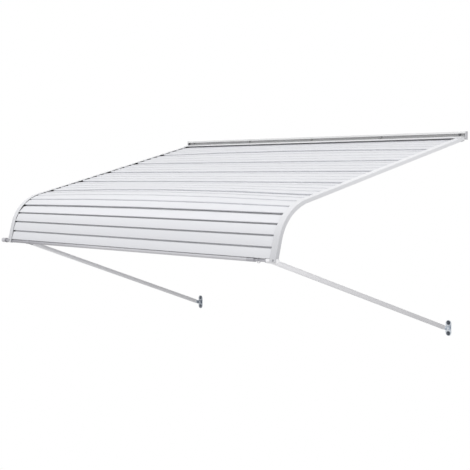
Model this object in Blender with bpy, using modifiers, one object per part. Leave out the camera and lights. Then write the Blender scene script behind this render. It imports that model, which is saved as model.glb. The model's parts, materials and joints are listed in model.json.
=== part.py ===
"""Door canopy of roll-formed aluminium pans on two curved side rails, with two propping arms.

Metres, +Z up. X runs along the wall, the wall face is the plane y = 0 and the canopy reaches
out along -Y. The origin is on the back face of the wall bar, halfway along it.

The skin is described by its side line: a straight slope, a bend and a short steep stretch.
A place on it is given by x, by s, the distance down the side line from the head rail's front
edge, and by n, the height above the side line.
"""

import math

import bmesh
import bpy
from mathutils import Matrix, Vector

# Overall sizes
CANOPY_WIDTH = 1.740
SLOPE = math.radians(14.7)
SLOPE_RUN = 0.920
BEND_RADIUS = 0.183
FRONT_STEEPNESS = math.radians(76)
GAP = 0.0003

# Pans of the skin, each with its own ribs
PAN_COUNT = 7
RIBS_PER_PAN = 4
RIB_PITCH = 0.0425
PAN_SHEET = 0.0008
LAST_PAN_RIB_PITCH = 0.0432
RIB_STEP = 0.0016
JOINT_STEP = 0.0048
RIB_END_STEP = 0.0060
RIB_END_RUN = 0.030
RIB_EDGE_RADIUS = 0.0025
GROOVE_DEPTH = 0.0082
SLIT = 0.0064
JOINT_SLIT = 0.0090
JOINT_DEPTH = 0.0100
JOINT_HEM = 0.0040
TUCK = 0.003
TUCK_HOOK = 0.0066
PAN_PAST_HEAD = 0.0010
LAST_RIB = 0.0350
FRONT_HEM = 0.0035
FRONT_HEM_RADIUS = 0.0006
RETURN_FLANGE = 0.024

# The pans spring up a little between the rails, most where the skin starts to bend
CROWN_AT_HEAD = 0.0075
CROWN_AT_HEAD_PLACE = 0.150
CROWN_AT_HEAD_SPREAD = 0.07
CROWN_AT_BEND = 0.0135
CROWN_AT_BEND_PLACE = 0.890
CROWN_AT_BEND_SPREAD = 0.16

# Side rails and centre stringer
RAIL_SHEET = 0.0014
RAIL_DEPTH = 0.0144
RAIL_FLARE = 0.0033
RAIL_FLARE_START = 0.890
RAIL_FLARE_RUN = 0.090
RAIL_LIP = 0.028
RAIL_LOWER_LIP = 0.018
RAIL_CORNER = 0.001
BAR_BELOW_RAIL = 0.0020
STRINGER_WIDTH = 0.030
STRINGER_DEPTH = 0.014
STRINGER_CLEARANCE = 0.0007
BEND_STEPS = 18
RAIL_SLOPE_STEPS = 2
STRINGER_SLOPE_STEPS = 24

# Wall bar with its cradle, and the head rail that hangs in it
WALL_BAR_SHEET = 0.002
WALL_BAR_TOP = 0.0155
WALL_BAR_REACH = 0.014
WALL_BAR_LIP_DROP = 0.008
CRADLE_WRAP = math.radians(140)
HINGE_DROP = 0.0105
BEAD_RADIUS = 0.004
HEAD_REACH = 0.0361
HEAD_ABOVE_HINGE = 0.0053
HEAD_SHEET = 0.0014
HEAD_CHANNEL_DEPTH = 0.0215
HEAD_LOWER_FLANGE = 0.0195
NECK_THICKNESS = 0.002
END_PLATE = 0.0028
END_PLATE_MARGIN = 0.0005

# Screws
WALL_SCREW_COUNT = 5
WALL_SCREW_INSET = 0.035
WALL_SCREW_HEIGHT = 0.004
WALL_SCREW_RADIUS = 0.0025
WALL_SCREW_FLANGE_RADIUS = 0.0065
WALL_SCREW_HEAD_RADIUS = 0.0040
WALL_SCREW_HEAD = 0.005
SMALL_SCREW_RADIUS = 0.002
SMALL_SCREW_HEAD_RADIUS = 0.004
SMALL_SCREW_HEAD = 0.0022
HEAD_SCREW_INSET = 0.010
HEAD_SCREW_UP_SLOPE = 0.0165
HEAD_SCREW_POINT = 0.0015

# Front bar
BAR_RADIUS = 0.0085
BAR_WALL = 0.0015
COLLAR_BEHIND = 0.0007
BAR_BEYOND_LEFT = 0.061
BAR_SHORT_OF_RIGHT = 0.150
CAP_WALL = 0.0012
CAP_LENGTH = 0.030
CAP_END = 0.0025
CAP_ROUNDING = 0.004
RING_WALL = 0.0017
RING_WIDTH = 0.004
RING_FROM_RAIL = 0.0265
FITTING_PLUG = 0.040
FITTING_SLEEVE = 0.038
FITTING_WAIST = 0.054
FITTING_WAIST_RADIUS = 0.0060
WAIST_RING_BORE = 0.008
WAIST_RING_WIRE = 0.0011
WAIST_RING_PLACE = 0.018

# Brackets at the rails' lower ends
COLLAR_WALL = 0.0015
COLLAR_WIDTH = 0.016
TAB_THICKNESS = 0.002
TAB_WIDTH = 0.016
TAB_LENGTH = 0.022
FLANGE_TONGUE = 0.010

# Propping arms
ARM_RADIUS = 0.0095
ARM_WALL = 0.0012
ARM_TOP_INSET_LEFT = 0.155
ARM_TOP_INSET_RIGHT = 0.034
ARM_FOOT_INSET = 0.083
ARM_TOP_SET_BACK = 0.022
ARM_FOOT_SET_BACK = 0.024
HUB_WALL = 0.0012
HUB_WIDTH = 0.030
HUB_PLAY = 0.001
EYE_RADIUS = 0.008
EYE_THICKNESS = 0.004
PLUG_LENGTH = 0.030

# Wall feet
FOOT_DROP_LEFT = 0.811
FOOT_DROP_RIGHT = 0.791
FOOT_WIDTH = 0.028
FOOT_HEIGHT = 0.066
FOOT_PLATE = 0.0025
FOOT_PIVOT_REACH = 0.016
EAR_THICKNESS = 0.0022
FOOT_BOLT_RADIUS = 0.003
FOOT_BOLT_HEAD_RADIUS = 0.0058
FOOT_BOLT_HEAD = 0.004
FOOT_NUT = 0.005
FOOT_BOLT_END = 0.0015
FOOT_SCREW_SPACING = 0.044
FOOT_SCREW_RADIUS = 0.003
FOOT_SCREW_FLANGE_RADIUS = 0.0092
FOOT_SCREW_HEAD_RADIUS = 0.0052
FOOT_SCREW_HEAD = 0.0058
SCREW_FLANGE = 0.0014

# Round parts
ROUND_STEPS = 16
FINE_STEPS = 24
SCREW_STEPS = 12
HEX = 6

# Worked-out places
HALF_WIDTH = CANOPY_WIDTH / 2
HALF_OPEN = HALF_WIDTH - RAIL_LIP
DOWN_SLOPE = Vector((0, -math.cos(SLOPE), -math.sin(SLOPE)))
OFF_SLOPE = Vector((0, -math.sin(SLOPE), math.cos(SLOPE)))
CRADLE_RADIUS = BEAD_RADIUS + GAP + WALL_BAR_SHEET / 2
HINGE = Vector((0, -(WALL_BAR_SHEET / 2 + CRADLE_RADIUS), -HINGE_DROP))
SKIN_START = HINGE + DOWN_SLOPE * HEAD_REACH + OFF_SLOPE * HEAD_ABOVE_HINGE
BEND_CENTRE = SKIN_START + DOWN_SLOPE * SLOPE_RUN - OFF_SLOPE * BEND_RADIUS
BEND_ANGLE = FRONT_STEEPNESS - SLOPE
BEND_END = SLOPE_RUN + BEND_RADIUS * BEND_ANGLE
DOWN_FRONT = Vector((0, -math.cos(FRONT_STEEPNESS), -math.sin(FRONT_STEEPNESS)))
OFF_FRONT = Vector((0, -math.sin(FRONT_STEEPNESS), math.cos(FRONT_STEEPNESS)))
PAN_COVER = RIBS_PER_PAN * RIB_PITCH
SKIN_END = (PAN_PAST_HEAD + (PAN_COUNT - 1) * PAN_COVER
            + (RIBS_PER_PAN - 1) * LAST_PAN_RIB_PITCH + LAST_RIB)
RAIL_TOP_N = PAN_SHEET / 2 + GAP + RAIL_SHEET / 2
RAIL_LOW_N = RAIL_TOP_N + RAIL_SHEET - RAIL_DEPTH
PAN_LOW_N = -JOINT_DEPTH - PAN_SHEET / 2
PAN_END_X = HALF_WIDTH - RAIL_SHEET - GAP
CAP_RADIUS = BAR_RADIUS + GAP + CAP_WALL
RING_RADIUS = BAR_RADIUS + GAP + RING_WALL
COLLAR_RADIUS = BAR_RADIUS + GAP + COLLAR_WALL
HUB_RADIUS = BAR_RADIUS + GAP + HUB_WALL
BAR_BEHIND = COLLAR_RADIUS + COLLAR_BEHIND
FLANGE_S = SKIN_END - FRONT_HEM
BAR_END_S = FLANGE_S + PAN_SHEET / 2 + GAP + BAR_RADIUS
BAR = (BEND_CENTRE + OFF_FRONT * (BEND_RADIUS - BAR_BEHIND)
       + DOWN_FRONT * (BAR_END_S - BEND_END))
RAIL_END = BAR_END_S + BAR_RADIUS - BAR_BELOW_RAIL
COLLAR_OUTER_X = HALF_WIDTH - RAIL_SHEET - GAP
COLLAR_INNER_X = COLLAR_OUTER_X - COLLAR_WIDTH
ARM_FOOT_X = HALF_WIDTH - ARM_FOOT_INSET
ALONG_X = Matrix.Rotation(math.radians(90), 4, "Y")
OUT_OF_WALL = Matrix.Rotation(math.radians(90), 4, "X")
SIDES = ((-1, "left"), (1, "right"))

WHITE = ("white_enamel", (0.86, 0.87, 0.89), 0.38, 0.0)
TUBE_WHITE = ("tube_enamel", (0.80, 0.81, 0.83), 0.35, 0.0)
ZINC = ("zinc_plate", (0.50, 0.54, 0.58), 0.35, 1.0)
DARK_STEEL = ("dark_steel", (0.06, 0.07, 0.09), 0.40, 1.0)
BLACK_PLASTIC = ("black_plastic", (0.05, 0.05, 0.055), 0.5, 0.0)


def clear_scene():
    for thing in list(bpy.data.objects):
        bpy.data.objects.remove(thing, do_unlink=True)


def collection(name):
    group = bpy.data.collections.new(name)
    bpy.context.scene.collection.children.link(group)
    return group


def material(look):
    name, colour, roughness, metallic = look
    found = bpy.data.materials.get(name)
    if found:
        return found
    made = bpy.data.materials.new(name)
    made.use_nodes = True
    shader = made.node_tree.nodes["Principled BSDF"]
    shader.inputs["Base Color"].default_value = (*colour, 1.0)
    shader.inputs["Roughness"].default_value = roughness
    shader.inputs["Metallic"].default_value = metallic
    return made


def thing_from(bm, name, look, smooth_angle=35):
    """Turns a bmesh into a named object of the canopy."""
    bmesh.ops.recalc_face_normals(bm, faces=bm.faces)
    mesh = bpy.data.meshes.new(name)
    bm.to_mesh(mesh)
    bm.free()
    mesh.shade_smooth()
    mesh.set_sharp_from_angle(angle=math.radians(smooth_angle))
    thing = bpy.data.objects.new(name, mesh)
    thing.data.materials.append(material(look))
    CANOPY.objects.link(thing)
    return thing


def tool_from(bm, name):
    """Turns a bmesh into a hidden cutter or a hidden piece to be joined on."""
    bm.normal_update()
    bmesh.ops.recalc_face_normals(bm, faces=bm.faces)
    mesh = bpy.data.meshes.new(name)
    bm.to_mesh(mesh)
    bm.free()
    tool = bpy.data.objects.new(name, mesh)
    tool.hide_render = True
    tool.display_type = "WIRE"
    TOOLS.objects.link(tool)
    return tool


def combine(thing, tool, operation):
    change = thing.modifiers.new(tool.name, "BOOLEAN")
    change.operation = operation
    change.solver = "EXACT"
    change.object = tool


def cut(thing, tool):
    combine(thing, tool, "DIFFERENCE")


def join(thing, tool):
    combine(thing, tool, "UNION")


def add_box(bm, low, high):
    low, high = Vector(low), Vector(high)
    place = Matrix.Translation((low + high) / 2) @ Matrix.Diagonal((*(high - low), 1))
    return bmesh.ops.create_cube(bm, size=1, matrix=place)["verts"]


def add_cylinder(bm, start, end, radius, steps=ROUND_STEPS):
    """A solid round bar between two points."""
    start, end = Vector(start), Vector(end)
    run = end - start
    turn = run.to_track_quat("Z", "Y").to_matrix().to_4x4()
    place = Matrix.Translation((start + end) / 2) @ turn
    made = bmesh.ops.create_cone(
        bm, cap_ends=True, segments=steps, radius1=radius, radius2=radius,
        depth=run.length, matrix=place)
    return made["verts"]


def cylinder_tool(name, start, end, radius, steps=ROUND_STEPS):
    bm = bmesh.new()
    add_cylinder(bm, start, end, radius, steps)
    return tool_from(bm, name)


def box_tool(name, low, high):
    bm = bmesh.new()
    add_box(bm, low, high)
    return tool_from(bm, name)


def turned(name, profile, place, look, steps=ROUND_STEPS):
    """A turned piece: its profile of (along, radius) points is spun about the axis."""
    points = [(radius, 0, along) for along, radius in reversed(profile)]
    edges = [(i, i + 1) for i in range(len(points) - 1)]
    if profile[0][1] > 0:
        edges.append((len(points) - 1, 0))
    outline = bpy.data.meshes.new(f"{name}_profile")
    outline.from_pydata(points, edges, [])
    thing = bpy.data.objects.new(name, outline)
    CANOPY.objects.link(thing)
    turn = thing.modifiers.new("Turn", "SCREW")
    turn.steps = steps
    turn.render_steps = steps
    turn.use_merge_vertices = True
    turn.merge_threshold = 0.00001
    seen = thing.evaluated_get(bpy.context.evaluated_depsgraph_get())
    mesh = bpy.data.meshes.new_from_object(seen)
    mesh.name = name
    thing.modifiers.clear()
    thing.data = mesh
    mesh.materials.append(material(look))
    mesh.shade_smooth()
    mesh.set_sharp_from_angle(angle=math.radians(35))
    thing.matrix_world = place
    return thing


def tube(name, start, end, radius, wall, look, steps=FINE_STEPS):
    """A round tube: an open cylinder with its wall on the inside."""
    start, end = Vector(start), Vector(end)
    length = (end - start).length
    profile = [(0, radius - wall), (0, radius), (length, radius), (length, radius - wall)]
    turn = (end - start).to_track_quat("Z", "Y").to_matrix().to_4x4()
    return turned(name, profile, Matrix.Translation(start) @ turn, look, steps)


def formed_sheet(name, section, stations, place, thickness, look):
    """Sheet metal: an open section carried through its stations, then given its thickness."""
    bm = bmesh.new()
    points = [bm.verts.new((a, b, stations[0])) for a, b in section]
    edges = [bm.edges.new(pair) for pair in zip(points, points[1:])]
    for last, station in zip(stations, stations[1:]):
        grown = bmesh.ops.extrude_edge_only(bm, edges=edges)["geom"]
        moved = [g for g in grown if isinstance(g, bmesh.types.BMVert)]
        bmesh.ops.translate(bm, verts=moved, vec=(0, 0, station - last))
        edges = [g for g in grown if isinstance(g, bmesh.types.BMEdge)
                 and all(v in moved for v in g.verts)]
    for vert in bm.verts:
        vert.co = place(*vert.co)
    thing = thing_from(bm, name, look)
    shell = thing.modifiers.new("Sheet", "SOLIDIFY")
    shell.thickness = thickness
    shell.offset = 0
    shell.use_even_offset = True
    return thing


def crown(x, s):
    """How far the skin springs up at x and s; nothing under the rails' lips."""
    across = max(0.0, 1 - (x / HALF_OPEN) ** 2)
    head = CROWN_AT_HEAD * math.exp(-((s - CROWN_AT_HEAD_PLACE) / CROWN_AT_HEAD_SPREAD) ** 2)
    bend = CROWN_AT_BEND * math.exp(-((s - CROWN_AT_BEND_PLACE) / CROWN_AT_BEND_SPREAD) ** 2)
    return across * (head + bend)


def on_skin(x, s, n):
    """The place at x, distance s down the side line and height n above it."""
    n = n + crown(x, s)
    if s <= SLOPE_RUN:
        place = SKIN_START + DOWN_SLOPE * s + OFF_SLOPE * n
    else:
        turn = min((s - SLOPE_RUN) / BEND_RADIUS, BEND_ANGLE)
        steep = SLOPE + turn
        off = Vector((0, -math.sin(steep), math.cos(steep)))
        down = Vector((0, -math.cos(steep), -math.sin(steep)))
        place = BEND_CENTRE + off * (BEND_RADIUS + n) + down * max(0.0, s - BEND_END)
    return Vector((x, place.y, place.z))


def bend_stations(first, last, slope_steps):
    """Distances down the side line that follow the bend closely and the straights plainly."""
    bend = [SLOPE_RUN + (BEND_END - SLOPE_RUN) * i / BEND_STEPS for i in range(BEND_STEPS + 1)]
    slope = [first + (SLOPE_RUN - first) * i / slope_steps for i in range(slope_steps)]
    return slope + bend + [last]


def rib_points(top, floor, step, length, radius):
    """One rib: up out of the groove behind it, along its rising face and round its lower edge."""
    centre = top + length - SLIT - radius
    points = [(top, -floor), (top + PAN_SHEET, -step)]
    for degrees in (90, 45, 0):
        angle = math.radians(degrees)
        points.append((centre + radius * math.cos(angle), radius * (math.sin(angle) - 1)))
    return points


def pan_section(last_pan):
    """Side view of one pan: hooked tuck, ribs, and a hem that stands over the next tuck.

    The last pan's sheet is folded back on itself at its lower edge and then runs inward.
    """
    hook = -JOINT_SLIT - TUCK
    points = [(hook, -JOINT_DEPTH + TUCK_HOOK), (hook, -JOINT_DEPTH)]
    pitch = LAST_PAN_RIB_PITCH if last_pan else RIB_PITCH
    for rib in range(RIBS_PER_PAN):
        ends_pan = rib == RIBS_PER_PAN - 1
        length = pitch
        if ends_pan:
            length = LAST_RIB + SLIT if last_pan else pitch - JOINT_SLIT + SLIT
        floor = JOINT_DEPTH if rib == 0 else GROOVE_DEPTH
        step = JOINT_STEP if rib == 0 else RIB_STEP
        radius = FRONT_HEM_RADIUS if ends_pan and last_pan else RIB_EDGE_RADIUS
        points += rib_points(rib * pitch, floor, step, length, radius)
        edge = points[-1][0]
        if not ends_pan:
            points.append((edge, -GROOVE_DEPTH))
        elif not last_pan:
            points.append((edge, -JOINT_HEM))
    if last_pan:
        points.append((edge - FRONT_HEM_RADIUS, -2 * FRONT_HEM_RADIUS))
        points.append((edge - FRONT_HEM, -2 * FRONT_HEM_RADIUS))
        points.append((edge - FRONT_HEM, -RETURN_FLANGE))
    return points


def crimped(x, n):
    """The ribs' rising faces start lower at the pan's ends, where they slip under the rails."""
    starts_rib = n in (-RIB_STEP, -JOINT_STEP)
    return -RIB_END_STEP if starts_rib and abs(x) >= HALF_OPEN else n


def make_pans():
    """The skin: interlocking pans from the head rail to the front bar."""
    half = [HALF_OPEN / 2, HALF_OPEN - RIB_END_RUN, HALF_OPEN, PAN_END_X - GAP]
    stations = [-x for x in reversed(half)] + [0.0] + half
    pans = []
    for index in range(PAN_COUNT):
        top = index * PAN_COVER + PAN_PAST_HEAD
        last_pan = index == PAN_COUNT - 1

        def place(u, n, x, top=top):
            return on_skin(x, top + u, crimped(x, n))

        pans.append(formed_sheet(
            f"pan_{index + 1}", pan_section(last_pan), stations, place, PAN_SHEET, WHITE))
    front = -PAN_SHEET / 2 - GAP
    for side, word in SIDES:
        for index, (inner, outer) in enumerate(flange_gaps(side)):
            near, far = sorted((side * inner, side * outer))
            bm = bmesh.new()
            add_box(bm, (near, FLANGE_S - HUB_PLAY * 3, -RETURN_FLANGE - HUB_PLAY),
                    (far, SKIN_END + HUB_PLAY, front))
            for vert in bm.verts:
                vert.co = on_skin(*vert.co)
            cut(pans[-1], tool_from(bm, f"flange_notch_{word}_{index + 1}"))
    return pans


def flange_gaps(side):
    """Where the last pan's flange makes room for the arm's hub and the rail's collar."""
    hub = abs(arm_pivots(side)[0].x)
    hub_inner = hub - HUB_WIDTH / 2 - HUB_PLAY
    hub_outer = hub + HUB_WIDTH / 2 + HUB_PLAY
    collar_inner = COLLAR_INNER_X - HUB_PLAY
    if collar_inner - hub_outer < FLANGE_TONGUE:
        return [(hub_inner, HALF_WIDTH)]
    return [(hub_inner, hub_outer), (collar_inner, HALF_WIDTH)]


def radial_hole(name, place, along, radius):
    """A short round cutter, centred on a sheet and square to it."""
    half = along * (RAIL_SHEET + GAP) * 2
    return cylinder_tool(name, place - half, place + half, radius)


def lock_screw_seat(side):
    """The middle of the rail's lip in front of the bar."""
    middle = (COLLAR_INNER_X + COLLAR_OUTER_X) / 2
    return on_skin(side * middle, BAR_END_S, RAIL_TOP_N)


def rail_flare(s):
    """How much deeper the rail's web is than on the slope: it deepens where the bend starts."""
    along = min(max((s - RAIL_FLARE_START) / RAIL_FLARE_RUN, 0.0), 1.0)
    return RAIL_FLARE * along * along * (3 - 2 * along)


def on_rail(x, n, s):
    """The place of a point of the rail's section; its lower half follows the flare."""
    return on_skin(x, s, n - rail_flare(s) if n < -RAIL_CORNER else n)


def side_rail(side, word):
    """A curved channel that holds the pans' ends."""
    web = HALF_WIDTH - RAIL_SHEET / 2
    section = [
        (side * (HALF_WIDTH - RAIL_LIP), RAIL_TOP_N),
        (side * (web - RAIL_CORNER), RAIL_TOP_N),
        (side * web, RAIL_TOP_N - RAIL_CORNER),
        (side * web, RAIL_LOW_N + RAIL_CORNER),
        (side * (web - RAIL_CORNER), RAIL_LOW_N),
        (side * (HALF_WIDTH - RAIL_LOWER_LIP), RAIL_LOW_N),
    ]
    top = -(HEAD_CHANNEL_DEPTH - HEAD_SHEET / 2 - GAP)
    rail = formed_sheet(
        f"side_rail_{word}", section, bend_stations(top, RAIL_END, RAIL_SLOPE_STEPS),
        on_rail, RAIL_SHEET, WHITE)
    outside = side * (HALF_WIDTH + BAR_RADIUS)
    inside = side * (HALF_WIDTH - RAIL_LIP - BAR_RADIUS)
    cut(rail, cylinder_tool(
        f"bar_way_{word}", (inside, BAR.y, BAR.z), (outside, BAR.y, BAR.z),
        BAR_RADIUS + GAP, FINE_STEPS))
    cut(rail, cylinder_tool(
        f"collar_way_{word}", (inside, BAR.y, BAR.z), (side * (COLLAR_OUTER_X + GAP), BAR.y, BAR.z),
        COLLAR_RADIUS + GAP, FINE_STEPS))
    cut(rail, radial_hole(f"lock_hole_{word}", lock_screw_seat(side), OFF_FRONT,
                          SMALL_SCREW_RADIUS + GAP))
    cut(rail, radial_hole(
        f"rail_head_hole_{word}", on_skin(side * (HALF_WIDTH - HEAD_SCREW_INSET),
                                          -HEAD_SCREW_UP_SLOPE, RAIL_LOW_N),
        OFF_SLOPE, SMALL_SCREW_RADIUS + GAP))
    return rail


def make_stringer():
    """The channel under the middle of the skin, from the head rail to the front flange."""
    half = STRINGER_WIDTH / 2
    top = PAN_LOW_N - STRINGER_CLEARANCE - RAIL_SHEET / 2
    low = top - STRINGER_DEPTH
    section = [(-half, low), (-half, top), (half, top), (half, low)]
    first = -(HEAD_CHANNEL_DEPTH - HEAD_SHEET / 2 - HEAD_LOWER_FLANGE) + GAP
    last = FLANGE_S - PAN_SHEET / 2 - GAP
    return formed_sheet(
        "center_stringer", section, bend_stations(first, last, STRINGER_SLOPE_STEPS),
        lambda x, n, s: on_skin(x, s, n), RAIL_SHEET, WHITE)


def wall_screw_places():
    last = HALF_WIDTH - WALL_SCREW_INSET
    step = 2 * last / (WALL_SCREW_COUNT - 1)
    return [-last + i * step for i in range(WALL_SCREW_COUNT)]


def make_wall_bar():
    """The hanger on the wall: lip, back plate and a cradle open at its top."""
    centre = -WALL_BAR_SHEET / 2
    top = WALL_BAR_TOP - WALL_BAR_SHEET / 2
    lip = -WALL_BAR_REACH + WALL_BAR_SHEET / 2
    section = [(lip, WALL_BAR_TOP - WALL_BAR_LIP_DROP), (lip, top), (centre, top)]
    steps = 8
    for i in range(steps + 1):
        angle = -CRADLE_WRAP * i / steps
        section.append((HINGE.y + CRADLE_RADIUS * math.cos(angle),
                        HINGE.z + CRADLE_RADIUS * math.sin(angle)))
    bar = formed_sheet(
        "wall_bar", section, [-HALF_WIDTH, HALF_WIDTH],
        lambda y, z, x: Vector((x, y, z)), WALL_BAR_SHEET, WHITE)
    for index, x in enumerate(wall_screw_places()):
        cut(bar, cylinder_tool(
            f"wall_hole_{index + 1}",
            (x, -WALL_BAR_SHEET * 2, WALL_SCREW_HEIGHT), (x, WALL_BAR_SHEET, WALL_SCREW_HEIGHT),
            WALL_SCREW_RADIUS + GAP))
    return bar


def make_end_plates():
    """Thin plates that close the wall bar's ends and keep the head rail from sliding out."""
    low = HINGE.z - CRADLE_RADIUS - WALL_BAR_SHEET / 2 - END_PLATE_MARGIN
    for side, word in SIDES:
        near, far = sorted((side * (HALF_WIDTH + GAP), side * (HALF_WIDTH + GAP + END_PLATE)))
        bm = bmesh.new()
        add_box(bm, (near, -WALL_BAR_REACH - END_PLATE_MARGIN, low),
                (far, 0, WALL_BAR_TOP + END_PLATE_MARGIN))
        plate = thing_from(bm, f"wall_bar_end_{word}", WHITE)
        soft = plate.modifiers.new("Soft edges", "BEVEL")
        soft.width = 0.0004
        soft.segments = 1


def screw_profile(shank, shank_radius, flange_radius, head_radius, head):
    """Along and radius, from the screw's tip at -shank to the top of its head."""
    chamfer = head_radius * 0.25
    return [
        (-shank, 0), (-shank, shank_radius), (0, shank_radius), (0, flange_radius),
        (SCREW_FLANGE, flange_radius * 0.96), (SCREW_FLANGE, head_radius),
        (head - chamfer, head_radius), (head, head_radius - chamfer), (head, 0),
    ]


def make_wall_screws():
    """Flanged screws through the wall bar, cut off at the wall face."""
    profile = screw_profile(
        WALL_BAR_SHEET, WALL_SCREW_RADIUS, WALL_SCREW_FLANGE_RADIUS,
        WALL_SCREW_HEAD_RADIUS, WALL_SCREW_HEAD)
    for index, x in enumerate(wall_screw_places()):
        seat = Matrix.Translation((x, -WALL_BAR_SHEET - GAP, WALL_SCREW_HEIGHT))
        look = DARK_STEEL if index + 1 == WALL_SCREW_COUNT else WHITE
        turned(f"wall_screw_{index + 1}", profile, seat @ OUT_OF_WALL, look, SCREW_STEPS)


def make_head_rail():
    """The canopy's top edge: a round bead, a neck and a channel for the rails and first pan."""
    top = RAIL_TOP_N + RAIL_SHEET / 2 + GAP + HEAD_SHEET / 2
    low = RAIL_LOW_N - RAIL_SHEET / 2 - GAP - HEAD_SHEET / 2
    back = -HEAD_CHANNEL_DEPTH
    section = [(0, top), (back, top), (back, low), (back + HEAD_LOWER_FLANGE, low)]
    rail = formed_sheet(
        "head_rail", section, [-HALF_WIDTH, HALF_WIDTH],
        lambda s, n, x: Vector((x, 0, 0)) + SKIN_START + DOWN_SLOPE * s + OFF_SLOPE * n,
        HEAD_SHEET, WHITE)
    web_middle = SKIN_START + DOWN_SLOPE * back - OFF_SLOPE * HEAD_ABOVE_HINGE
    half = OFF_SLOPE * NECK_THICKNESS / 2
    bm = bmesh.new()
    corners = [HINGE + half, HINGE - half, web_middle - half, web_middle + half]
    side_x = Vector((-HALF_WIDTH, 0, 0))
    face = bm.faces.new([bm.verts.new(corner + side_x) for corner in corners])
    grown = bmesh.ops.extrude_face_region(bm, geom=[face])["geom"]
    moved = [g for g in grown if isinstance(g, bmesh.types.BMVert)]
    bmesh.ops.translate(bm, verts=moved, vec=(CANOPY_WIDTH, 0, 0))
    join(rail, tool_from(bm, "head_neck"))
    join(rail, cylinder_tool(
        "head_bead", (-HALF_WIDTH, HINGE.y, HINGE.z), (HALF_WIDTH, HINGE.y, HINGE.z),
        BEAD_RADIUS))
    for side, word in SIDES:
        x = side * (HALF_WIDTH - HEAD_SCREW_INSET)
        cut(rail, radial_hole(
            f"head_hole_{word}", on_skin(x, -HEAD_SCREW_UP_SLOPE, low), OFF_SLOPE,
            SMALL_SCREW_RADIUS + GAP))
    return rail


def make_head_screws():
    """Two screws from below, through the head rail into the side rails."""
    seat_n = RAIL_LOW_N - RAIL_SHEET / 2 - GAP - HEAD_SHEET - GAP
    shank = -seat_n + RAIL_LOW_N + RAIL_SHEET / 2 + HEAD_SCREW_POINT
    profile = [
        (-shank, 0), (-shank, SMALL_SCREW_RADIUS), (0, SMALL_SCREW_RADIUS),
        (0, SMALL_SCREW_HEAD_RADIUS), (SMALL_SCREW_HEAD * 0.6, SMALL_SCREW_HEAD_RADIUS),
        (SMALL_SCREW_HEAD, SMALL_SCREW_HEAD_RADIUS * 0.6), (SMALL_SCREW_HEAD, 0)]
    down = (-OFF_SLOPE).to_track_quat("Z", "Y").to_matrix().to_4x4()
    for side, word in SIDES:
        x = side * (HALF_WIDTH - HEAD_SCREW_INSET)
        seat = on_skin(x, -HEAD_SCREW_UP_SLOPE, seat_n)
        turned(f"head_rail_screw_{word}", profile, Matrix.Translation(seat) @ down, ZINC,
               SCREW_STEPS)


def bar_ends():
    """Where the bar's tube starts and stops."""
    left = -HALF_WIDTH - BAR_BEYOND_LEFT
    right = HALF_WIDTH - BAR_SHORT_OF_RIGHT
    return left, right


def make_front_bar():
    """The tube under the front edge with its cap, stop ring and the fitting at its right end."""
    left, right = bar_ends()
    tube("front_bar", (left, BAR.y, BAR.z), (right, BAR.y, BAR.z), BAR_RADIUS, BAR_WALL,
         TUBE_WHITE)
    inner = BAR_RADIUS + GAP
    cap_profile = [
        (0, 0), (0, CAP_RADIUS - CAP_ROUNDING),
        (CAP_ROUNDING * 0.3, CAP_RADIUS - CAP_ROUNDING * 0.3),
        (CAP_ROUNDING, CAP_RADIUS), (CAP_LENGTH, CAP_RADIUS), (CAP_LENGTH, inner),
        (CAP_END, inner), (CAP_END, 0)]
    cap_place = Matrix.Translation((left - CAP_END - GAP, BAR.y, BAR.z)) @ ALONG_X
    turned("bar_cap", cap_profile, cap_place, TUBE_WHITE, FINE_STEPS)
    ring_profile = [(0, inner), (0, RING_RADIUS), (RING_WIDTH, RING_RADIUS), (RING_WIDTH, inner)]
    ring_place = Matrix.Translation(
        (-HALF_WIDTH - RING_FROM_RAIL - RING_WIDTH, BAR.y, BAR.z)) @ ALONG_X
    turned("bar_stop_ring", ring_profile, ring_place, BLACK_PLASTIC, FINE_STEPS)


def make_end_fitting():
    """The bar's right end: a plug in the tube, a sleeve, a slim waist and a journal."""
    _, right = bar_ends()
    plug_radius = BAR_RADIUS - BAR_WALL - GAP
    sleeve_start = FITTING_PLUG + GAP
    waist_start = sleeve_start + FITTING_SLEEVE
    waist_end = waist_start + FITTING_WAIST
    journal_end = FITTING_PLUG + COLLAR_OUTER_X - right
    profile = [
        (0, 0), (0, plug_radius), (sleeve_start, plug_radius),
        (sleeve_start, BAR_RADIUS), (waist_start, BAR_RADIUS),
        (waist_start, FITTING_WAIST_RADIUS), (waist_end, FITTING_WAIST_RADIUS),
        (waist_end, BAR_RADIUS), (journal_end, BAR_RADIUS), (journal_end, 0)]
    place = Matrix.Translation((right - FITTING_PLUG, BAR.y, BAR.z)) @ ALONG_X
    turned("bar_end_fitting", profile, place, ZINC, FINE_STEPS)
    hang = WAIST_RING_BORE - FITTING_WAIST_RADIUS - GAP
    middle = WAIST_RING_BORE + WAIST_RING_WIRE
    corners = [math.radians(step * 60) for step in range(6)]
    ring_profile = [(WAIST_RING_WIRE * math.cos(angle), middle + WAIST_RING_WIRE * math.sin(angle))
                    for angle in reversed(corners)]
    ring_x = right - FITTING_PLUG + waist_start + WAIST_RING_PLACE
    ring_place = Matrix.Translation((ring_x, BAR.y, BAR.z - hang)) @ ALONG_X
    turned("fitting_ring", ring_profile, ring_place, TUBE_WHITE, FINE_STEPS)


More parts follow.
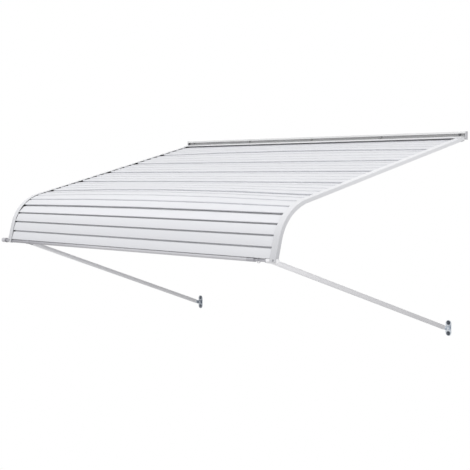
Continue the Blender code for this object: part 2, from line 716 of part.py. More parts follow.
def bar_bracket(side, word):
    """A collar in the rail's lower end: the bar passes through it and a tab runs up the rail."""
    near, far = sorted((side * COLLAR_INNER_X, side * COLLAR_OUTER_X))
    bm = bmesh.new()
    add_cylinder(bm, (near, BAR.y, BAR.z), (far, BAR.y, BAR.z), COLLAR_RADIUS, FINE_STEPS)
    bracket = thing_from(bm, f"bar_bracket_{word}", WHITE)
    low = RAIL_LOW_N - RAIL_FLARE + RAIL_SHEET / 2 + GAP
    bm = bmesh.new()
    low_x, high_x = sorted((side * COLLAR_OUTER_X, side * (COLLAR_OUTER_X - TAB_WIDTH)))
    add_box(bm, (low_x, SKIN_END - TAB_LENGTH, low), (high_x, BAR_END_S, low + TAB_THICKNESS))
    for vert in bm.verts:
        vert.co = on_skin(*vert.co)
    join(bracket, tool_from(bm, f"bracket_tab_{word}"))
    lip_back = RAIL_TOP_N - RAIL_SHEET / 2 - GAP
    bm = bmesh.new()
    add_box(bm, (near, BAR_END_S - SMALL_SCREW_HEAD_RADIUS, -BAR_BEHIND),
            (far, BAR_END_S + SMALL_SCREW_HEAD_RADIUS, lip_back))
    for vert in bm.verts:
        vert.co = on_skin(*vert.co)
    join(bracket, tool_from(bm, f"bracket_boss_{word}"))
    cut(bracket, cylinder_tool(
        f"bracket_bar_hole_{word}", (near - BAR_RADIUS, BAR.y, BAR.z),
        (far + BAR_RADIUS, BAR.y, BAR.z), BAR_RADIUS + GAP, FINE_STEPS))
    seat = lock_screw_seat(side)
    cut(bracket, cylinder_tool(
        f"bracket_screw_hole_{word}", seat, seat - OFF_FRONT * BAR_BEHIND,
        SMALL_SCREW_RADIUS + GAP))
    return bracket


def make_lock_screws():
    """One screw through each rail's lip into the collar behind it, just clear of the bar."""
    shank = RAIL_TOP_N + RAIL_SHEET / 2 + BAR_BEHIND - BAR_RADIUS - GAP
    profile = [
        (-shank, 0), (-shank, SMALL_SCREW_RADIUS), (0, SMALL_SCREW_RADIUS),
        (0, SMALL_SCREW_HEAD_RADIUS), (SMALL_SCREW_HEAD * 0.5, SMALL_SCREW_HEAD_RADIUS),
        (SMALL_SCREW_HEAD, SMALL_SCREW_HEAD_RADIUS * 0.6), (SMALL_SCREW_HEAD, 0)]
    out = OFF_FRONT.to_track_quat("Z", "Y").to_matrix().to_4x4()
    for side, word in SIDES:
        seat = lock_screw_seat(side) + OFF_FRONT * (RAIL_SHEET / 2 + GAP)
        turned(f"bracket_lock_screw_{word}", profile, Matrix.Translation(seat) @ out,
               DARK_STEEL, SCREW_STEPS)


def pivot_bolt(name, seat, side, shank, radius, head_radius, head, look):
    """A hexagon-headed bolt. The seat is under its head and the shank runs towards the middle."""
    seat = Vector(seat)
    inward = Vector((-side, 0, 0))
    bm = bmesh.new()
    add_cylinder(bm, seat - inward * head, seat, head_radius, HEX)
    bolt = thing_from(bm, name, look)
    join(bolt, cylinder_tool(
        f"{name}_shank", seat - inward * head / 2, seat + inward * shank, radius))
    return bolt


def pivot_nut(name, seat, side, length, bore, outer, look):
    """A hexagon nut whose seat faces outward."""
    seat = Vector(seat)
    inward = Vector((-side, 0, 0))
    bm = bmesh.new()
    add_cylinder(bm, seat, seat + inward * length, outer, HEX)
    nut = thing_from(bm, name, look)
    cut(nut, cylinder_tool(
        f"{name}_bore", seat - inward * length, seat + inward * length * 2, bore))
    return nut


def arm_pivots(side):
    """The arm's ends: on the front bar's axis and on the wall foot's bolt."""
    inset = ARM_TOP_INSET_LEFT if side < 0 else ARM_TOP_INSET_RIGHT
    drop = FOOT_DROP_LEFT if side < 0 else FOOT_DROP_RIGHT
    top = Vector((side * (HALF_WIDTH - inset), BAR.y, BAR.z))
    foot = Vector((side * ARM_FOOT_X, -FOOT_PIVOT_REACH, -drop))
    return top, foot


def arm_hub(name, pivot, far_pivot):
    """The arm's upper end: a hub that turns on the front bar, with a plug for the tube."""
    along = (far_pivot - pivot).normalized()
    half = Vector((HUB_WIDTH / 2, 0, 0))
    bm = bmesh.new()
    add_cylinder(bm, pivot - half, pivot + half, HUB_RADIUS, FINE_STEPS)
    hub = thing_from(bm, name, TUBE_WHITE)
    join(hub, cylinder_tool(
        f"{name}_neck", pivot, pivot + along * (ARM_TOP_SET_BACK - GAP), ARM_RADIUS, FINE_STEPS))
    join(hub, cylinder_tool(
        f"{name}_plug", pivot + along * HUB_RADIUS,
        pivot + along * (ARM_TOP_SET_BACK + PLUG_LENGTH), ARM_RADIUS - ARM_WALL - GAP,
        FINE_STEPS))
    cut(hub, cylinder_tool(
        f"{name}_bore", pivot - half * 2, pivot + half * 2, BAR_RADIUS + GAP, FINE_STEPS))
    return hub


def arm_eye(name, pivot, far_pivot, bolt_radius):
    """A flat eye with a round plug: the eye turns on the pivot, the plug sits in the tube."""
    along = (far_pivot - pivot).normalized()
    flat = Vector((0, along.y, along.z)).normalized()
    across = Vector((1, 0, 0))
    edge = across.cross(flat)
    bm = bmesh.new()
    half = across * EYE_THICKNESS / 2
    add_cylinder(bm, pivot - half, pivot + half, EYE_RADIUS, FINE_STEPS)
    eye = thing_from(bm, name, ZINC)
    bm = bmesh.new()
    reach = flat * (ARM_FOOT_SET_BACK - GAP * 2)
    corners = [pivot + edge * EYE_RADIUS, pivot - edge * EYE_RADIUS,
               pivot - edge * EYE_RADIUS + reach, pivot + edge * EYE_RADIUS + reach]
    face = bm.faces.new([bm.verts.new(corner - half) for corner in corners])
    grown = bmesh.ops.extrude_face_region(bm, geom=[face])["geom"]
    moved = [g for g in grown if isinstance(g, bmesh.types.BMVert)]
    bmesh.ops.translate(bm, verts=moved, vec=half * 2)
    join(eye, tool_from(bm, f"{name}_tongue"))
    plug_start = pivot + along * (ARM_FOOT_SET_BACK - EYE_RADIUS / 2)
    plug_end = pivot + along * (ARM_FOOT_SET_BACK + PLUG_LENGTH)
    join(eye, cylinder_tool(
        f"{name}_plug", plug_start, plug_end, ARM_RADIUS - ARM_WALL - GAP, FINE_STEPS))
    cut(eye, cylinder_tool(
        f"{name}_hole", pivot - half * 3, pivot + half * 3, bolt_radius + GAP))
    return eye


def make_arm(side, word):
    """A propping arm: its tube, the hub on the front bar and the flat eye at the wall foot."""
    top, foot = arm_pivots(side)
    along = (foot - top).normalized()
    tube(f"arm_tube_{word}", top + along * ARM_TOP_SET_BACK, foot - along * ARM_FOOT_SET_BACK,
         ARM_RADIUS, ARM_WALL, TUBE_WHITE)
    arm_hub(f"arm_hub_{word}", top, foot)
    arm_eye(f"arm_foot_eye_{word}", foot, top, FOOT_BOLT_RADIUS)


def make_foot(side, word):
    """A wall foot: a plate with two ears, its pivot bolt and nut, and its two screws."""
    _, pivot = arm_pivots(side)
    x, z = pivot.x, pivot.z
    half_width = FOOT_WIDTH / 2
    end = FOOT_HEIGHT / 2 - half_width
    bm = bmesh.new()
    for height in (z - end, z + end):
        add_cylinder(bm, (x, -FOOT_PLATE, height), (x, 0, height), half_width, FINE_STEPS)
    hull = bmesh.ops.convex_hull(bm, input=bm.verts, use_existing_faces=False)
    spare = [g for g in hull["geom_interior"] + hull["geom_unused"]
             if isinstance(g, bmesh.types.BMVert)]
    bmesh.ops.delete(bm, geom=spare, context="VERTS")
    bmesh.ops.dissolve_limit(
        bm, angle_limit=math.radians(1), verts=bm.verts, edges=bm.edges)
    foot = thing_from(bm, f"wall_foot_{word}", ZINC)
    ear_inner = EYE_THICKNESS / 2 + GAP
    for ear in (-1, 1):
        low_x, high_x = sorted((x + ear * ear_inner, x + ear * (ear_inner + EAR_THICKNESS)))
        ear_name = f"ear_{word}_{'inner' if ear < 0 else 'outer'}"
        join(foot, box_tool(
            ear_name, (low_x, -FOOT_PIVOT_REACH, z - EYE_RADIUS),
            (high_x, -FOOT_PLATE / 2, z + EYE_RADIUS)))
        join(foot, cylinder_tool(
            f"{ear_name}_round", (low_x, -FOOT_PIVOT_REACH, z), (high_x, -FOOT_PIVOT_REACH, z),
            EYE_RADIUS, FINE_STEPS))
    cut(foot, cylinder_tool(
        f"foot_pivot_hole_{word}", (x - half_width, -FOOT_PIVOT_REACH, z),
        (x + half_width, -FOOT_PIVOT_REACH, z), FOOT_BOLT_RADIUS + GAP))
    profile = screw_profile(
        FOOT_PLATE, FOOT_SCREW_RADIUS, FOOT_SCREW_FLANGE_RADIUS,
        FOOT_SCREW_HEAD_RADIUS, FOOT_SCREW_HEAD)
    for place, offset in (("lower", -FOOT_SCREW_SPACING / 2), ("upper", FOOT_SCREW_SPACING / 2)):
        cut(foot, cylinder_tool(
            f"foot_screw_hole_{word}_{place}", (x, -FOOT_PLATE * 2, z + offset),
            (x, FOOT_PLATE, z + offset), FOOT_SCREW_RADIUS + GAP))
        seat = Matrix.Translation((x, -FOOT_PLATE - GAP, z + offset))
        turned(f"foot_screw_{word}_{place}", profile, seat @ OUT_OF_WALL, DARK_STEEL)
    ear_outer = ear_inner + EAR_THICKNESS
    seat = pivot + Vector((side * (ear_outer + GAP), 0, 0))
    shank = 2 * ear_outer + 2 * GAP + FOOT_NUT + FOOT_BOLT_END
    pivot_bolt(f"foot_bolt_{word}", seat, side, shank, FOOT_BOLT_RADIUS,
               FOOT_BOLT_HEAD_RADIUS, FOOT_BOLT_HEAD, ZINC)
    pivot_nut(f"foot_nut_{word}", pivot - Vector((side * (ear_outer + GAP), 0, 0)), side,
              FOOT_NUT, FOOT_BOLT_RADIUS + GAP, FOOT_BOLT_HEAD_RADIUS, ZINC)


def pivot(name, place, things):
    """An empty on a hinge's axis that carries the pieces which turn about it."""
    empty = bpy.data.objects.new(name, None)
    empty.location = place
    CANOPY.objects.link(empty)
    for thing in things:
        if thing.parent is None:
            thing.parent = empty
            thing.matrix_parent_inverse = Matrix.Translation(-Vector(place))
    return empty


clear_scene()
CANOPY = collection("door_canopy")
TOOLS = collection("cutters")
make_wall_bar()
make_end_plates()
make_wall_screws()
FIXED = set(CANOPY.objects)
for SIDE, WORD in SIDES:
    EARLIER = set(CANOPY.objects)
    make_foot(SIDE, WORD)
    pivot(f"foot_pivot_{WORD}", arm_pivots(SIDE)[1], set(CANOPY.objects) - EARLIER)
    EARLIER = set(CANOPY.objects)
    make_arm(SIDE, WORD)
    pivot(f"arm_pivot_{WORD}", arm_pivots(SIDE)[0], set(CANOPY.objects) - EARLIER)
EARLIER = set(CANOPY.objects)
make_head_rail()
make_head_screws()
make_pans()
make_stringer()
make_front_bar()
make_end_fitting()
for SIDE, WORD in SIDES:
    side_rail(SIDE, WORD)
    bar_bracket(SIDE, WORD)
make_lock_screws()
pivot("canopy_pivot", HINGE, set(CANOPY.objects) - EARLIER)
TOOLS.hide_render = True
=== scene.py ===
"""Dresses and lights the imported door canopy, seen from its right front as in the photograph."""

import json
import math

import bpy
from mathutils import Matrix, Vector

# Camera: how far it looks down and how far it is turned about Z are in radians
CAMERA_PLACE = (3.6251, -3.7752, -0.1687)
CAMERA_DOWN = 0.0512
CAMERA_TURN = 0.8326
CAMERA_LENS = 86.51
CAMERA_SENSOR = 36.0
CAMERA_NEAR = 0.05
CAMERA_FAR = 100.0

# Studio: each lamp is a square with its name, place, target, edge length and watts
LAMPS = (("key", (-0.5, -4.7, 4.4), (0.0, -0.6, -0.2), 2.6, 218.0),
         ("side", (5.0, -1.6, 1.2), (0.0, -0.6, -0.4), 2.5, 66.0))
SOFT_COLOUR = (0.98, 0.98, 1.0, 1.0)
SOFT_STRENGTH = 0.42
WHITE = (1.0, 1.0, 1.0, 1.0)
FLOOR_COLOUR = (0.86, 0.86, 0.86)
FLOOR_ROUGHNESS = 0.9
FLOOR_SIZE = 60.0
FLOOR_HEIGHT = -2.3

# Smooth shading: edges that turn more than this many degrees stay folds
FOLD_ANGLE = 32
WELD_DISTANCE = 0.00002

# Enamel: slow waves in its tone, stretched along the sheet, uneven gloss, orange peel and a coat
WAVE_STRETCH = (1.0, 6.0, 6.0)
WAVE_SCALE = 1.7
WAVE_DETAIL = 3.0
WAVE_STOPS = (0.35, 0.65)
GLOSS_SCALE = 9.0
GLOSS_DETAIL = 2.0
GLOSS_STRAY = 0.06
PEEL_SCALE = 260.0
PEEL_DETAIL = 1.0
PEEL_STRENGTH = 0.012
PEEL_HEIGHT = 0.0003
COAT_WEIGHT = 0.10
COAT_ROUGHNESS = 0.25

# Grained finishes: the patches' scale and detail and the stops of their ramp, the grain's scale
# and detail, how far the roughness strays, and the relief's strength and height
ZINC_GRAIN = {"patches": (120.0, 3.0), "stops": (0.35, 0.62), "grain": (1400.0, 2.0),
              "stray": (-0.10, 0.12), "relief": (0.12, 0.0002)}
STEEL_GRAIN = {"patches": (300.0, 3.0), "stops": (0.30, 0.70), "grain": (300.0, 3.0),
               "stray": (-0.10, 0.15), "relief": (0.10, 0.0002)}
MOULDED_GRAIN = {"patches": (60.0, 2.0), "stops": (0.35, 0.65), "grain": (1600.0, 2.0),
                 "stray": (-0.08, 0.08), "relief": (0.20, 0.0003)}

# Painted shade in seams and corners: how open the air is where it is darkest, the share of the
# tone that is left there, and how open the air is where no shade is painted
SEAM_SHADE_SAMPLES = 8
PAINTED_SHADE_ON_PANS = (0.10, 0.38, 0.80)
PAINTED_SHADE_ELSEWHERE = (0.30, 0.22, 0.75)
PAINTED_SHADE_UNDER_LIP = (0.35, 0.10, 0.80)
UNDER_LIP_REACH = 0.020
# How much shade is painted into the pans' seams, in (height, share) pairs, and the distance to the
# middle from which it is painted at any height
PAINTED_SHADE_BY_HEIGHT = ((-0.440, 0.40), (-0.400, 0.70), (-0.320, 1.0), (-0.284, 1.0), (-0.279, 0.0))
PAINTED_SHADE_NEAR_RAILS = (0.828, 0.838)
# Beyond this distance to the middle, on the left, the pans' ends get painted shade under the
# rail's lip
PAINTED_SHADE_NEAR_LIP = (0.838, 0.845)

# Painted shadows of the gaps between the pans' ribs and the left rail's lip: how far apart they
# are along Y, where one of them starts, which share of a rib they take, and the Y range in which
# the slope ends
RIB_GAP_PITCH = 0.04111
RIB_GAP_START = 0.2403
RIB_GAP_STOPS = ((0.0, 1.0), (0.52, 1.0), (0.64, 0.0), (0.96, 0.0), (1.0, 1.0))
RIB_GAP_SHADOW_TONE = (0.030, 0.030, 0.034)
SLOPE_ENDS = (-0.90, -0.86)
# The painted gap shadows lie on the pans' ends beside the lip and on the lip's edge: the direction
# along X, and where they start and are full in it
PAN_END_GAP_SHADOWS = (-1.0, 0.8375, 0.8395)
LIP_EDGE_GAP_SHADOWS = (1.0, -0.8426, -0.8422)

# Sockets of a colour mix node
MIX_SHARE, MIX_FIRST, MIX_SECOND, MIX_RESULT = 0, 6, 7, 2

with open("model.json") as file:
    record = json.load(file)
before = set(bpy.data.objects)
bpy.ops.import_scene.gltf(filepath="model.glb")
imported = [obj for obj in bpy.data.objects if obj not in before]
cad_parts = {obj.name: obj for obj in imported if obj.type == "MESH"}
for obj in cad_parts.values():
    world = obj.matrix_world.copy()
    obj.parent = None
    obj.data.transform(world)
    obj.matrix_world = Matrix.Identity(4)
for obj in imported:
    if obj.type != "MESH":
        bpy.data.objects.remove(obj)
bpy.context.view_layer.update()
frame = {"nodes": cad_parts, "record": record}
NODES = frame["nodes"]


def node_material(name, colour, roughness, metallic=0.0):
    """A new material, its node tree and its shader."""
    made = bpy.data.materials.new(name)
    made.use_nodes = True
    shader = made.node_tree.nodes["Principled BSDF"]
    shader.inputs["Base Color"].default_value = (*colour, 1.0)
    shader.inputs["Roughness"].default_value = roughness
    shader.inputs["Metallic"].default_value = metallic
    return made, made.node_tree, shader


def object_coordinates(tree, scale=(1.0, 1.0, 1.0)):
    place = tree.nodes.new("ShaderNodeTexCoord")
    mapping = tree.nodes.new("ShaderNodeMapping")
    mapping.inputs["Scale"].default_value = scale
    tree.links.new(place.outputs["Object"], mapping.inputs["Vector"])
    return mapping.outputs["Vector"]


def object_axes(tree):
    """X, Y and Z of a point of the node, in metres as in the CAD and the same in each pose."""
    place = tree.nodes.new("ShaderNodeTexCoord")
    split = tree.nodes.new("ShaderNodeSeparateXYZ")
    tree.links.new(place.outputs["Object"], split.inputs["Vector"])
    return split.outputs


def noise(tree, vector, scale, detail):
    made = tree.nodes.new("ShaderNodeTexNoise")
    made.inputs["Scale"].default_value = scale
    made.inputs["Detail"].default_value = detail
    tree.links.new(vector, made.inputs["Vector"])
    return made.outputs["Fac"]


def ramp(tree, value, stops):
    """Colours by value, from (position, colour) stops."""
    made = tree.nodes.new("ShaderNodeValToRGB")
    made.color_ramp.elements[0].position = stops[0][0]
    made.color_ramp.elements[0].color = (*stops[0][1], 1.0)
    made.color_ramp.elements[1].position = stops[-1][0]
    made.color_ramp.elements[1].color = (*stops[-1][1], 1.0)
    for position, colour in stops[1:-1]:
        added = made.color_ramp.elements.new(position)
        added.color = (*colour, 1.0)
    tree.links.new(value, made.inputs["Fac"])
    return made.outputs["Color"]


def grey_ramp(tree, value, pairs):
    """Shares by value, from (position, share) pairs."""
    return ramp(tree, value, [(position, (share, share, share)) for position, share in pairs])


def span(tree, value, low, high, start=0.0, end=1.0):
    """Runs from low to high while value runs from start to end, and holds beyond them."""
    made = tree.nodes.new("ShaderNodeMapRange")
    made.inputs["From Min"].default_value = start
    made.inputs["From Max"].default_value = end
    made.inputs["To Min"].default_value = low
    made.inputs["To Max"].default_value = high
    tree.links.new(value, made.inputs["Value"])
    return made.outputs["Result"]


def step_between(tree, value, low, high):
    """0 up to low, 1 from high on, and a smooth step between them."""
    made = tree.nodes.new("ShaderNodeMapRange")
    made.interpolation_type = "SMOOTHSTEP"
    made.inputs["From Min"].default_value = low
    made.inputs["From Max"].default_value = high
    tree.links.new(value, made.inputs["Value"])
    return made.outputs["Result"]


def maths(tree, operation, first, second=None):
    """Works on one socket, or on a socket with a number or another socket."""
    made = tree.nodes.new("ShaderNodeMath")
    made.operation = operation
    tree.links.new(first, made.inputs[0])
    if isinstance(second, float):
        made.inputs[1].default_value = second
    elif second is not None:
        tree.links.new(second, made.inputs[1])
    return made.outputs["Value"]


def share_along(tree, value, pairs):
    """A share that changes evenly between the places of its (place, share) pairs."""
    lowest, highest = pairs[0][0], pairs[-1][0]
    along = span(tree, value, 0.0, 1.0, lowest, highest)
    return grey_ramp(tree, along, [((place - lowest) / (highest - lowest), share)
                                   for place, share in pairs])


def mixed(tree, share, tone, other, blend="MIX"):
    """Mixes other into tone. No share means all of it, and other may be a plain colour."""
    mix = tree.nodes.new("ShaderNodeMix")
    mix.data_type = "RGBA"
    mix.blend_type = blend
    if share is None:
        mix.inputs[MIX_SHARE].default_value = 1.0
    else:
        tree.links.new(share, mix.inputs[MIX_SHARE])
    tree.links.new(tone, mix.inputs[MIX_FIRST])
    if isinstance(other, tuple):
        mix.inputs[MIX_SECOND].default_value = (*other, 1.0)
    else:
        tree.links.new(other, mix.inputs[MIX_SECOND])
    return mix.outputs[MIX_RESULT]


def bump(tree, shader, height, strength, distance):
    made = tree.nodes.new("ShaderNodeBump")
    made.inputs["Strength"].default_value = strength
    made.inputs["Distance"].default_value = distance
    tree.links.new(height, made.inputs["Height"])
    tree.links.new(made.outputs["Normal"], shader.inputs["Normal"])


def faded(tree, tone, far_tone, axis, full_at, start_at):
    """Fades tone into far_tone along an object axis, from start_at to full_at."""
    far = span(tree, object_axes(tree)[axis], 1.0, 0.0, full_at, start_at)
    return mixed(tree, far, tone, far_tone)


def paint_shade_along(tree, tone, axis, pairs):
    """Paints shade: multiplies tone by a share that changes along an object axis, by (place,
    share) pairs.
    """
    return mixed(tree, None, tone, share_along(tree, object_axes(tree)[axis], pairs), "MULTIPLY")


def darkened(tree, tone, reach, levels, share=None):
    """Paints shade: multiplies tone by how open the air is within reach; levels are as for the
    pans' painted shade in seams.
    """
    darkest_at, deepest, clean_at = levels
    open_air = tree.nodes.new("ShaderNodeAmbientOcclusion")
    open_air.samples = SEAM_SHADE_SAMPLES
    open_air.inputs["Distance"].default_value = reach
    shade_share = grey_ramp(tree, open_air.outputs["AO"], [(darkest_at, deepest), (clean_at, 1.0)])
    return mixed(tree, share, tone, shade_share, "MULTIPLY")


def paint_seam_shade(tree, tone, reach, everywhere):
    """Paints shade into tone in seams and corners, where the air around a point is closed.

    Unless it is everywhere, the painted shade stays on the steep front and along the side rails,
    with more of it under the left rail's lip.
    """
    if everywhere:
        return darkened(tree, tone, reach, PAINTED_SHADE_ELSEWHERE)
    axes = object_axes(tree)
    front = share_along(tree, axes["Z"], PAINTED_SHADE_BY_HEIGHT)
    rails = step_between(tree, maths(tree, "ABSOLUTE", axes["X"]), *PAINTED_SHADE_NEAR_RAILS)
    tone = darkened(tree, tone, reach, PAINTED_SHADE_ON_PANS, maths(tree, "MAXIMUM", front, rails))
    lip = step_between(tree, maths(tree, "MULTIPLY", axes["X"], -1.0), *PAINTED_SHADE_NEAR_LIP)
    return darkened(tree, tone, UNDER_LIP_REACH, PAINTED_SHADE_UNDER_LIP, lip)


def paint_gap_shadows(tree, tone, toward, start_at, full_at):
    """Paints into tone the shadow of the gap that a rib leaves under the left rail's lip.

    The painted shadows lie where X times toward is over start_at, and are full from full_at on.
    """
    axes = object_axes(tree)
    ribs = maths(tree, "MULTIPLY", axes["Y"], -1 / RIB_GAP_PITCH)
    ribs = maths(tree, "SUBTRACT", ribs, RIB_GAP_START / RIB_GAP_PITCH)
    gap_shadows = grey_ramp(tree, maths(tree, "FRACT", ribs), RIB_GAP_STOPS)
    gap_shadows = maths(tree, "MULTIPLY", gap_shadows, step_between(tree, axes["Y"], *SLOPE_ENDS))
    outward = maths(tree, "MULTIPLY", axes["X"], toward)
    gap_shadows = maths(tree, "MULTIPLY", gap_shadows, step_between(tree, outward, start_at, full_at))
    return mixed(tree, gap_shadows, tone, RIB_GAP_SHADOW_TONE)


def enamel(name, colour, shade, roughness, fade=None, painted_shade_falloff=None, shade_reach=0.0, everywhere=False,
           gap_shadows=None):
    """Baked enamel on rolled sheet: faint long waves, slightly uneven gloss and faint orange peel.

    fade, the shade falloff and the gap shadows are the last values of faded and of the functions
    that paint shade along an axis and paint the gap shadows: a tone darkened along an axis as
    painted shade, the share of the tone that is left under painted shade, and painted shadows of
    the gaps under the left rail's lip. The shade reach is how far into a seam painted shade
    reaches, in metres.
    """
    made, tree, shader = node_material(name, colour, roughness)
    vector = object_coordinates(tree, WAVE_STRETCH)
    start, end = WAVE_STOPS
    tone = ramp(tree, noise(tree, vector, WAVE_SCALE, WAVE_DETAIL),
                [(start, shade), (end, colour)])
    if fade:
        tone = faded(tree, tone, *fade)
    if painted_shade_falloff:
        tone = paint_shade_along(tree, tone, *painted_shade_falloff)
    if shade_reach:
        tone = paint_seam_shade(tree, tone, shade_reach, everywhere)
    if gap_shadows:
        tone = paint_gap_shadows(tree, tone, *gap_shadows)
    tree.links.new(tone, shader.inputs["Base Color"])
    gloss = noise(tree, vector, GLOSS_SCALE, GLOSS_DETAIL)
    tree.links.new(span(tree, gloss, roughness - GLOSS_STRAY, roughness + GLOSS_STRAY),
                   shader.inputs["Roughness"])
    peel = noise(tree, object_coordinates(tree), PEEL_SCALE, PEEL_DETAIL)
    bump(tree, shader, peel, PEEL_STRENGTH, PEEL_HEIGHT)
    shader.inputs["Coat Weight"].default_value = COAT_WEIGHT
    shader.inputs["Coat Roughness"].default_value = COAT_ROUGHNESS
    return made


def grained(name, colour, shade, roughness, metallic, recipe, fade=None):
    """A plated, coated or moulded finish: patches of two tones and fine grain.

    fade is the last values of faded, with the paint that covers a piece's end.
    """
    made, tree, shader = node_material(name, colour, roughness, metallic)
    start, end = recipe["stops"]
    tone = ramp(tree, noise(tree, object_coordinates(tree), *recipe["patches"]),
                [(start, shade), (end, colour)])
    if fade:
        tone = faded(tree, tone, *fade)
    tree.links.new(tone, shader.inputs["Base Color"])
    grain = noise(tree, object_coordinates(tree), *recipe["grain"])
    smoother, rougher = recipe["stray"]
    tree.links.new(span(tree, grain, roughness + smoother, roughness + rougher),
                   shader.inputs["Roughness"])
    bump(tree, shader, grain, *recipe["relief"])
    return made


# The pans get painted shade in their seams and corners, and painted shadows of the rib gaps beside
# the left rail's lip
PAN_ENAMEL = enamel("pan_enamel", (0.803, 0.809, 0.833), (0.787, 0.793, 0.819),
                    roughness=0.42, shade_reach=0.011, gap_shadows=PAN_END_GAP_SHADOWS)
# The rails' paint darkens towards the bottom as painted shade, and gets painted shade in its seams
# and corners
RAIL_PAINT = {"colour": (0.908, 0.911, 0.928), "shade": (0.890, 0.894, 0.913),
              "roughness": 0.42, "fade": ((0.625, 0.630, 0.650), "Z", -0.45, -0.15),
              "shade_reach": 0.016, "everywhere": True}
RAIL_ENAMEL = enamel("rail_enamel", **RAIL_PAINT)
# The left rail's lip edge also carries the painted shadows of the rib gaps
LEFT_RAIL_ENAMEL = enamel("left_rail_enamel", **RAIL_PAINT, gap_shadows=LIP_EDGE_GAP_SHADOWS)
# The wall bar's recess and seams get painted shade
HANGER_ENAMEL = enamel("hanger_enamel", (0.830, 0.832, 0.828), (0.780, 0.783, 0.778),
                       roughness=0.45, shade_reach=0.012, everywhere=True)
# The arms' paint darkens towards the wall, under the canopy, as painted shade
ARM_ENAMEL = enamel("arm_enamel", (0.985, 0.979, 0.995), (0.950, 0.945, 0.965),
                    roughness=0.38, painted_shade_falloff=("Y", ((-1.05, 1.0), (-0.70, 0.87), (-0.05, 0.71))))
# The end plates get painted shade in their seams and corners
END_ENAMEL = enamel("end_plate_enamel", (0.620, 0.620, 0.640), (0.560, 0.560, 0.580),
                    roughness=0.45, shade_reach=0.012, everywhere=True)
BRACKET_ENAMEL = enamel("bracket_enamel", (0.940, 0.938, 0.952), (0.920, 0.918, 0.934),
                        roughness=0.42)
# The bar's paint darkens towards its left end as painted shade
BAR_ENAMEL = enamel("bar_enamel", (0.642, 0.638, 0.662), (0.612, 0.609, 0.634),
                    roughness=0.38, fade=((0.370, 0.366, 0.394), "X", -0.85, -0.20))
CAP_ENAMEL = enamel("cap_enamel", (0.580, 0.578, 0.604), (0.545, 0.543, 0.570),
                    roughness=0.38)
FITTING = grained("fitting_zinc", (0.540, 0.536, 0.566), (0.430, 0.427, 0.458),
                  roughness=0.45, metallic=0.4, recipe=ZINC_GRAIN,
                  fade=((0.960, 0.958, 0.970), "X", 0.850, 0.845))
ZINC = grained("bright_zinc", (0.700, 0.735, 0.775), (0.560, 0.600, 0.650),
               roughness=0.34, metallic=1.0, recipe=ZINC_GRAIN)
# A darker copy of the zinc, painted shade for the left foot
SHADED_ZINC = grained("shaded_zinc", (0.460, 0.490, 0.530), (0.350, 0.380, 0.420),
                    roughness=0.45, metallic=1.0, recipe=ZINC_GRAIN)
DARK_STEEL = grained("dark_screw_steel", (0.150, 0.165, 0.190), (0.085, 0.095, 0.115),
                     roughness=0.42, metallic=0.8, recipe=STEEL_GRAIN)
DULL_STEEL = grained("dull_screw_steel", (0.280, 0.300, 0.330), (0.200, 0.216, 0.243),
                     roughness=0.5, metallic=0.8, recipe=STEEL_GRAIN)
# Darker steel for the fifth wall screw, the one wall screw not given the wall bar's paint
FIFTH_SCREW_STEEL = grained("fifth_screw_steel", (0.300, 0.300, 0.312), (0.210, 0.210, 0.222),
                          roughness=0.5, metallic=0.8, recipe=STEEL_GRAIN)
LOCK_STEEL = grained("lock_screw_steel", (0.400, 0.400, 0.415), (0.310, 0.310, 0.324),
                     roughness=0.5, metallic=0.8, recipe=STEEL_GRAIN)
MOULDING = grained("worn_grey_moulding", (0.400, 0.396, 0.420), (0.330, 0.327, 0.350),
                   roughness=0.5, metallic=0.0, recipe=MOULDED_GRAIN)

SLOT_LOOKS = {"white_enamel": PAN_ENAMEL, "tube_enamel": BAR_ENAMEL, "zinc_plate": ZINC,
              "dark_steel": DARK_STEEL, "black_plastic": MOULDING}
PAINTED_SLOTS = ("white_enamel", "tube_enamel")
# Painted nodes with another tone than their slot's, by the start of their name
PAINTED_LOOKS = (("side_rail_left", LEFT_RAIL_ENAMEL), ("side_rail", RAIL_ENAMEL),
                 ("head_rail", RAIL_ENAMEL), ("wall_bar_end", END_ENAMEL),
                 ("wall_bar", HANGER_ENAMEL), ("wall_screw", HANGER_ENAMEL),
                 ("bar_bracket", BRACKET_ENAMEL), ("arm_hub_left", BAR_ENAMEL),
                 ("arm_hub", ARM_ENAMEL), ("arm_tube", ARM_ENAMEL), ("bar_cap", CAP_ENAMEL),
                 ("fitting_ring", CAP_ENAMEL))
# Other nodes with another finish than their slot's; the left foot stands in the shade, and its
# zinc gets a darker copy as painted shade
OTHER_LOOKS = {"bar_end_fitting": FITTING, "wall_screw_5": FIFTH_SCREW_STEEL,
               "bracket_lock_screw_left": LOCK_STEEL, "bracket_lock_screw_right": LOCK_STEEL,
               "wall_foot_left": SHADED_ZINC, "foot_bolt_left": SHADED_ZINC,
               "foot_nut_left": SHADED_ZINC, "arm_foot_eye_left": SHADED_ZINC,
               "foot_screw_left_lower": DULL_STEEL, "foot_screw_left_upper": DULL_STEEL}


def look_of(name, slot):
    """A node's finish: its slot's, or its own where it has another tone there."""
    if slot not in PAINTED_SLOTS:
        return OTHER_LOOKS.get(name, SLOT_LOOKS[slot])
    for start, look in PAINTED_LOOKS:
        if name.startswith(start):
            return look
    return SLOT_LOOKS[slot]


def dress_nodes():
    slots = {row["node"]: row["material_slot"] for row in frame["record"]["subparts"]}
    for name, thing in NODES.items():
        thing.data.materials.clear()
        thing.data.materials.append(look_of(name, slots[name]))


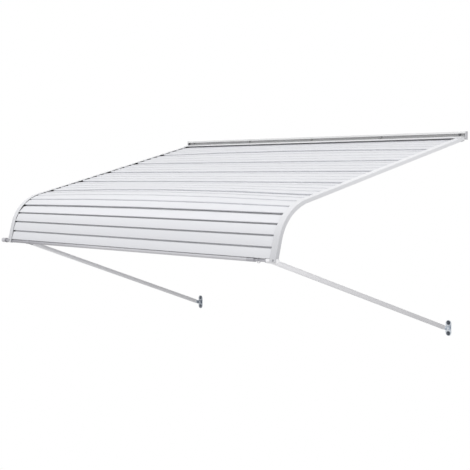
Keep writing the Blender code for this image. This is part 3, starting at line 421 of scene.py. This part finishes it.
def smoothing_group(degrees):
    """Node group that shades faces smooth and leaves edges sharper than the angle as folds."""
    group = bpy.data.node_groups.new("smooth_by_angle", "GeometryNodeTree")
    group.interface.new_socket("Geometry", in_out="INPUT", socket_type="NodeSocketGeometry")
    group.interface.new_socket("Geometry", in_out="OUTPUT", socket_type="NodeSocketGeometry")
    start = group.nodes.new("NodeGroupInput")
    end = group.nodes.new("NodeGroupOutput")
    angle = group.nodes.new("GeometryNodeInputMeshEdgeAngle")
    gentle = group.nodes.new("FunctionNodeCompare")
    gentle.data_type = "FLOAT"
    gentle.operation = "LESS_THAN"
    gentle.inputs[1].default_value = math.radians(degrees)
    faces = group.nodes.new("GeometryNodeSetShadeSmooth")
    faces.domain = "FACE"
    folds = group.nodes.new("GeometryNodeSetShadeSmooth")
    folds.domain = "EDGE"
    group.links.new(angle.outputs["Unsigned Angle"], gentle.inputs[0])
    group.links.new(start.outputs[0], faces.inputs["Geometry"])
    group.links.new(faces.outputs["Geometry"], folds.inputs["Geometry"])
    group.links.new(gentle.outputs["Result"], folds.inputs["Shade Smooth"])
    group.links.new(folds.outputs["Geometry"], end.inputs[0])
    return group


def smooth_nodes():
    """Curved sheets and round pieces are shaded smooth, with their folds kept sharp."""
    smoothing = smoothing_group(FOLD_ANGLE)
    for thing in NODES.values():
        weld = thing.modifiers.new("Weld", "WELD")
        weld.merge_threshold = WELD_DISTANCE
        smooth = thing.modifiers.new("Smooth", "NODES")
        smooth.node_group = smoothing


def make_camera():
    data = bpy.data.cameras.new("camera")
    data.sensor_width = CAMERA_SENSOR
    data.lens = CAMERA_LENS
    data.clip_start = CAMERA_NEAR
    data.clip_end = CAMERA_FAR
    camera = bpy.data.objects.new("camera", data)
    camera.location = CAMERA_PLACE
    camera.rotation_euler = (math.pi / 2 - CAMERA_DOWN, 0.0, CAMERA_TURN)
    bpy.context.scene.collection.objects.link(camera)
    bpy.context.scene.camera = camera


def area_light(name, place, target, edge, watts):
    data = bpy.data.lights.new(name, "AREA")
    data.shape = "RECTANGLE"
    data.size = data.size_y = edge
    data.energy = watts
    lamp = bpy.data.objects.new(name, data)
    lamp.location = place
    aim = Vector(target) - Vector(place)
    lamp.rotation_euler = aim.to_track_quat("-Z", "Y").to_euler()
    bpy.context.scene.collection.objects.link(lamp)


def seen_white(tree, lit_shader, white_shader, surface):
    """Puts plain white on surface for the camera, mirrors and glass, and lit_shader otherwise."""
    path = tree.nodes.new("ShaderNodeLightPath")
    seen = maths(tree, "MAXIMUM", path.outputs["Is Camera Ray"], path.outputs["Is Glossy Ray"])
    seen = maths(tree, "MAXIMUM", seen, path.outputs["Is Transmission Ray"])
    white_shader.inputs["Color"].default_value = WHITE
    white_shader.inputs["Strength"].default_value = 1.0
    mix = tree.nodes.new("ShaderNodeMixShader")
    tree.links.new(seen, mix.inputs["Fac"])
    tree.links.new(lit_shader, mix.inputs[1])
    tree.links.new(white_shader.outputs[0], mix.inputs[2])
    tree.links.new(mix.outputs["Shader"], surface)


def make_world():
    world = bpy.data.worlds.new("studio")
    world.use_nodes = True
    bpy.context.scene.world = world
    tree = world.node_tree
    soft = tree.nodes["Background"]
    soft.inputs["Color"].default_value = SOFT_COLOUR
    soft.inputs["Strength"].default_value = SOFT_STRENGTH
    seen_white(tree, soft.outputs["Background"], tree.nodes.new("ShaderNodeBackground"),
               tree.nodes["World Output"].inputs["Surface"])


def make_floor():
    bpy.ops.mesh.primitive_plane_add(size=FLOOR_SIZE, location=(0.0, 0.0, FLOOR_HEIGHT))
    floor = bpy.context.object
    floor.name = "floor"
    made, tree, shader = node_material("floor_white", FLOOR_COLOUR, FLOOR_ROUGHNESS)
    seen_white(tree, shader.outputs["BSDF"], tree.nodes.new("ShaderNodeEmission"),
               tree.nodes["Material Output"].inputs["Surface"])
    floor.data.materials.append(made)


dress_nodes()
smooth_nodes()
make_camera()
make_world()
make_floor()
for lamp_values in LAMPS:
    area_light(*lamp_values)
bpy.context.scene.view_settings.view_transform = "Standard"
